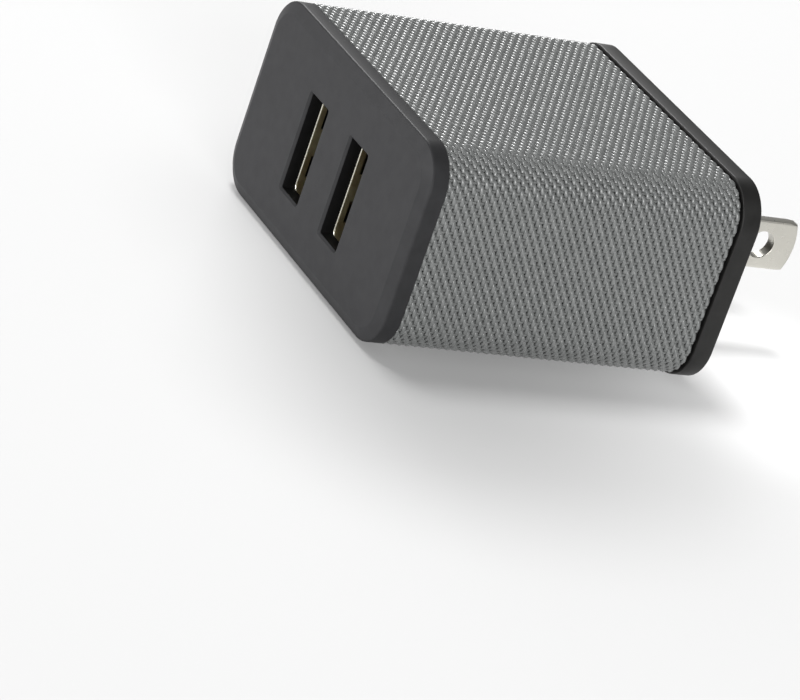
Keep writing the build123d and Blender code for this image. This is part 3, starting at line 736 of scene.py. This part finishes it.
# A shell is one strip of sheet bent round into a tube. It is built as a grid that is unrolled
# round the tube and along it, with cells left out where the windows round the tabs are cut.
SHELL_W, SHELL_H, SHELL_CORNER = 4.6, 12.4, 0.75
SHEET, LIP, LIP_FIRST = 0.3, 0.1, 0.03
SHELL_LENGTH = 14.0
WINDOW_Z, WINDOW_HALF, TAB_HALF = 3.15, 1.4, 0.95
WINDOW_START, TAB_START, WINDOW_END = 0.8, 1.3, 6.8
# Places along the shell, from its mouth, where the grid has a row of points.
STATIONS = (0.0, LIP_FIRST, LIP, 0.3, WINDOW_START, TAB_START)
STATIONS += (2.2, 3.1, 4.0, 4.9, 5.8, WINDOW_END, 9.0, SHELL_LENGTH)
# The tabs bow into the port by TAB_BEND, over TAB_ARC of half a turn from root to tip.
TAB_BEND, TAB_ARC = 0.22, 0.8


def shell_outline():
    """Points round the inside of the tube, with their normals."""
    half_w, half_h = SHELL_W / 2, SHELL_H / 2 - SHELL_CORNER
    steps = (-WINDOW_HALF, -TAB_HALF, 0.0, TAB_HALF, WINDOW_HALF)
    breaks = [z + step for z in (-WINDOW_Z, WINDOW_Z) for step in steps]
    rows = sorted([-half_h, *breaks, 0.0, half_h])
    found = []
    for turn in range(4):
        quarter = math.pi / 2 * turn
        nx, nz = round(math.cos(quarter)), round(math.sin(quarter))
        if turn % 2 == 0:
            found += [(nx * half_w, nx * z, nx, 0.0) for z in rows]
        else:
            half = SHELL_W / 2 - SHELL_CORNER
            found += [(-nz * x, nz * SHELL_H / 2, 0.0, nz) for x in (-half, 0.0, half)]
        cx = (half_w - SHELL_CORNER) * (1 if turn in (0, 3) else -1)
        cz = half_h * (1 if turn in (0, 1) else -1)
        for step in range(1, 6):
            angle = quarter + math.pi / 2 * step / 6
            bx, bz = math.cos(angle), math.sin(angle)
            found.append((cx + SHELL_CORNER * bx, cz + SHELL_CORNER * bz, bx, bz))
    return found


def cell_is_cut(across, along):
    """Whether the middle of a cell lies in the gap round a spring tab."""
    off = abs(abs(across) - WINDOW_Z)
    if off > WINDOW_HALF or not WINDOW_START < along < WINDOW_END:
        return False
    return off > TAB_HALF or along < TAB_START


def build_shell(side):
    x0, z0 = port_centre(side)
    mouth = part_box(f"usb_shell_{side}")[0].y
    outline = shell_outline()
    squeeze = {0.0: LIP, LIP_FIRST: LIP_FIRST}
    work = bmesh.new()
    inner, outer = [], []
    for along in STATIONS:
        row_in, row_out = [], []
        for x, z, nx, nz in outline:
            bend = 0.0
            across_tab = abs(nx) == 1 and abs(abs(z) - WINDOW_Z) < TAB_HALF + 0.01
            if across_tab and TAB_START <= along < WINDOW_END:
                from_root = (WINDOW_END - along) / (WINDOW_END - TAB_START)
                bend = TAB_BEND * math.sin(math.pi * from_root * TAB_ARC)
            low = squeeze.get(along, 0.0) - bend
            high = SHEET - squeeze.get(along, 0.0) - bend
            for row, depth in ((row_in, low), (row_out, high)):
                place_x, place_z = x0 + (x + nx * depth) * MM, z0 + (z + nz * depth) * MM
                row.append(work.verts.new((place_x, mouth + along * MM, place_z)))
        inner.append(row_in)
        outer.append(row_out)
    count = len(outline)
    kept = set()
    for j, (near, far) in enumerate(zip(STATIONS, STATIONS[1:])):
        middle = (near + far) / 2
        for i in range(count):
            x, z, nx, nz = outline[i]
            after = outline[(i + 1) % count]
            on_wall = abs(nx) == 1 and abs(after[2]) == 1 and nx == after[2]
            if not (on_wall and cell_is_cut((z + after[1]) / 2, middle)):
                kept.add((i, j))
    for i, j in kept:
        k = (i + 1) % count
        work.faces.new([inner[j][i], inner[j][k], inner[j + 1][k], inner[j + 1][i]])
        work.faces.new([outer[j][i], outer[j + 1][i], outer[j + 1][k], outer[j][k]])
        edges = {
            (i, j - 1): (j, i, j, k),
            (i, j + 1): (j + 1, k, j + 1, i),
            ((i - 1) % count, j): (j + 1, i, j, i),
            (k, j): (j, k, j + 1, k),
        }
        for beside, (j1, i1, j2, i2) in edges.items():
            if beside not in kept:
                work.faces.new([inner[j2][i2], inner[j1][i1], outer[j1][i1], outer[j2][i2]])
    loose = [vert for vert in work.verts if not vert.link_faces]
    bmesh.ops.delete(work, geom=loose, context="VERTS")
    bmesh.ops.recalc_face_normals(work, faces=work.faces)
    mesh = bpy.data.meshes.new(f"port_shell_{side}")
    work.to_mesh(mesh)
    work.free()
    mark_creases(mesh, 50)
    mesh.materials.append(MATERIALS["shell_steel"])
    mesh.materials.append(MATERIALS["shell_lip_bare_and_painted_highlight"])
    # Faces within LIP of the mouth get the lighter lip metal: partly bare edge, partly painted
    # highlight.
    for face in mesh.polygons:
        face.material_index = int(face.center.y < mouth + LIP * MM)
    add_piece(f"port_shell_{side}", mesh, replaces=[f"usb_shell_{side}"])


for side in PORT_SIDES:
    build_shell(side)


# ---------------------------------------------------------------- finishes of the CAD nodes

NODE_FINISH = {
    "inner_housing": "housing_plastic",
    "blade_carrier": "housing_plastic",
    "blade_terminals": "terminal_bronze",
    "usb_insulator_left": "port_plastic",
    "usb_insulator_right": "port_plastic",
    "usb_contacts_left": "contact_gold",
    "usb_contacts_right": "contact_gold",
    "usb_pins_left": "tinned_lead",
    "usb_pins_right": "tinned_lead",
    "main_board": "board_green",
    "port_board": "board_green",
    "board_link_pins": "tinned_lead",
    "board_link_header": "bobbin_plastic",
    "transformer_cores": "ferrite",
    "transformer_bobbin": "bobbin_plastic",
    "transformer_winding": "copper_wire",
    "transformer_tape": "tape_yellow",
    "transformer_pins": "tinned_lead",
    "bulk_capacitors": "can_sleeve",
    "output_capacitors": "can_sleeve",
    "capacitor_leads": "tinned_lead",
    "fuse": "fuse_body",
    "input_choke": "ferrite",
    "choke_winding": "copper_wire",
    "safety_capacitor": "disc_blue",
    "small_part_leads": "tinned_lead",
    "bridge_rectifier": "chip_black",
    "power_chip": "chip_black",
    "output_rectifier": "chip_black",
    "charge_chip": "chip_black",
    "chip_resistors": "chip_ceramic",
    "insulation_sheet": "insulator_film",
}

for name, finish in NODE_FINISH.items():
    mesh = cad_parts[name].data
    mesh.materials.clear()
    mesh.materials.append(MATERIALS[finish])


# ---------------------------------------------------------------- floor, light and camera

floor_z = cap_low.z
FLOOR_HALF = 3.0
FLOOR_TONE, FLOOR_WHITE = 0.632, (0.93, 0.93, 0.93)
# Painted shadow and painted light on the floor round the charger, as soft patches: x, y and reach in mm,
# and how much lighter each makes the floor (below zero it is painted shadow).
FLOOR_PAINTED_SHADOW_AND_LIGHT = ((34, -38, 40, -0.185), (0, -22, 48, -0.17), (21, 13, 31, 0.27))


def build_stage():
    material, tree, shader = new_material("white_floor")
    where = node(tree, "ShaderNodeTexCoord").outputs["Object"]
    tone = None
    # Each patch paints shadow or light into the floor's colour, fading out to its reach.
    for x, y, reach, change in FLOOR_PAINTED_SHADOW_AND_LIGHT:
        apart = node(tree, "ShaderNodeVectorMath", operation="DISTANCE")
        apart.inputs[1].default_value = (x * MM, y * MM, floor_z)
        tree.links.new(where, apart.inputs[0])
        fade = node(tree, "ShaderNodeMapRange", interpolation_type="SMOOTHSTEP")
        fade.inputs["From Max"].default_value = reach * MM
        fade.inputs["To Min"].default_value = change
        fade.inputs["To Max"].default_value = 0.0
        tree.links.new(apart.outputs["Value"], fade.inputs["Value"])
        total = node(tree, "ShaderNodeMath", operation="ADD")
        total.inputs[0].default_value = FLOOR_TONE
        if tone is not None:
            tree.links.new(tone, total.inputs[0])
        tree.links.new(fade.outputs["Result"], total.inputs[1])
        tone = total.outputs["Value"]
    capped = node(tree, "ShaderNodeMath", operation="MINIMUM")
    capped.inputs[1].default_value = 1.0
    tree.links.new(tone, capped.inputs[0])
    white = node(tree, "ShaderNodeVectorMath", operation="SCALE")
    white.inputs[0].default_value = FLOOR_WHITE
    tree.links.new(capped.outputs["Value"], white.inputs["Scale"])
    tree.links.new(white.outputs["Vector"], shader.inputs["Base Color"])
    shader.inputs["Roughness"].default_value = 0.9
    shader.inputs["Specular IOR Level"].default_value = 0.1
    mesh = bpy.data.meshes.new("floor")
    sides = ((-1, -1), (1, -1), (1, 1), (-1, 1))
    corners = [(x * FLOOR_HALF, y * FLOOR_HALF, floor_z) for x, y in sides]
    mesh.from_pydata(corners, [], [(0, 1, 2, 3)])
    mesh.materials.append(material)
    floor = bpy.data.objects.new("floor", mesh)
    bpy.context.scene.collection.objects.link(floor)


def area_light(name, place, aim, width, power):
    light = bpy.data.lights.new(name, "AREA")
    light.shape = "RECTANGLE"
    light.size = light.size_y = width
    light.energy = power
    lamp = bpy.data.objects.new(name, light)
    lamp.location = place
    lamp.rotation_euler = (Vector(aim) - Vector(place)).to_track_quat("-Z", "Y").to_euler()
    bpy.context.scene.collection.objects.link(lamp)
    return lamp


WORLD_STRENGTH = 0.21
LAMP_AIM = (0.0, -0.02, 0.0)
LAMP_DISTANCE = 1.1
# Each lamp: its bearing from +X towards +Y and its height, in degrees, its width, its power
# and what it lights. An even lamp lights the floor without shadows.
LAMPS = {
    "key": (165, 30, 0.3, 7.2, "charger"),
    "front_low": (345, 14, 0.5, 7.0, "both"),
    "left_fill": (225, 12, 0.6, 3.0, "charger"),
    "front_fill": (270, 12, 0.6, 11.5, "charger"),
    "back_right": (45, 40, 0.6, 1.0, "charger"),
    "floor_top": (0, 90, 0.8, 7.5, "floor evenly"),
    "floor_left": (200, 72, 0.3, 7.5, "floor"),
    "floor_back": (165, 30, 0.5, 5.0, "floor"),
}


def build_light():
    world = bpy.data.worlds.new("studio")
    bpy.context.scene.world = world
    world.use_nodes = True
    world.node_tree.nodes["Background"].inputs["Color"].default_value = (1, 1, 1, 1)
    world.node_tree.nodes["Background"].inputs["Strength"].default_value = WORLD_STRENGTH
    middle = Vector(LAMP_AIM)
    for name, (bearing, rise, width, power, lit) in LAMPS.items():
        turn, tilt = math.radians(bearing), math.radians(rise)
        level = math.cos(tilt)
        way = Vector((math.cos(turn) * level, math.sin(turn) * level, math.sin(tilt)))
        lamp = area_light(name, middle + way * LAMP_DISTANCE, middle, width, power)
        if lit != "both":
            receivers = bpy.data.collections.new(f"{name}_receivers")
            receivers.objects.link(bpy.data.objects["floor"])
            link = receivers.collection_objects[0].light_linking
            link.link_state = "EXCLUDE" if lit == "charger" else "INCLUDE"
            lamp.light_linking.receiver_collection = receivers
            if lit == "floor evenly":
                lamp.light_linking.blocker_collection = receivers


CAMERA_LENS = 194.61
CAMERA_PLACE = (0.40065, -0.28431, 0.17513)
CAMERA_RIGHT, CAMERA_BACK = (0.40214, 0.86198, 0.30868), (0.77693, -0.49964, 0.38306)


def build_camera():
    camera = bpy.data.cameras.new("camera")
    camera.lens = CAMERA_LENS
    camera.sensor_width = 36.0
    camera.clip_start, camera.clip_end = 0.01, 20.0
    made = bpy.data.objects.new("camera", camera)
    back = Vector(CAMERA_BACK).normalized()
    up = back.cross(Vector(CAMERA_RIGHT)).normalized()
    right = up.cross(back).normalized()
    turn = Matrix((right, up, back)).transposed().to_4x4()
    made.matrix_world = Matrix.Translation(CAMERA_PLACE) @ turn
    bpy.context.scene.collection.objects.link(made)
    bpy.context.scene.camera = made


build_stage()
build_light()
build_camera()
bpy.context.scene.view_settings.view_transform = "Standard"
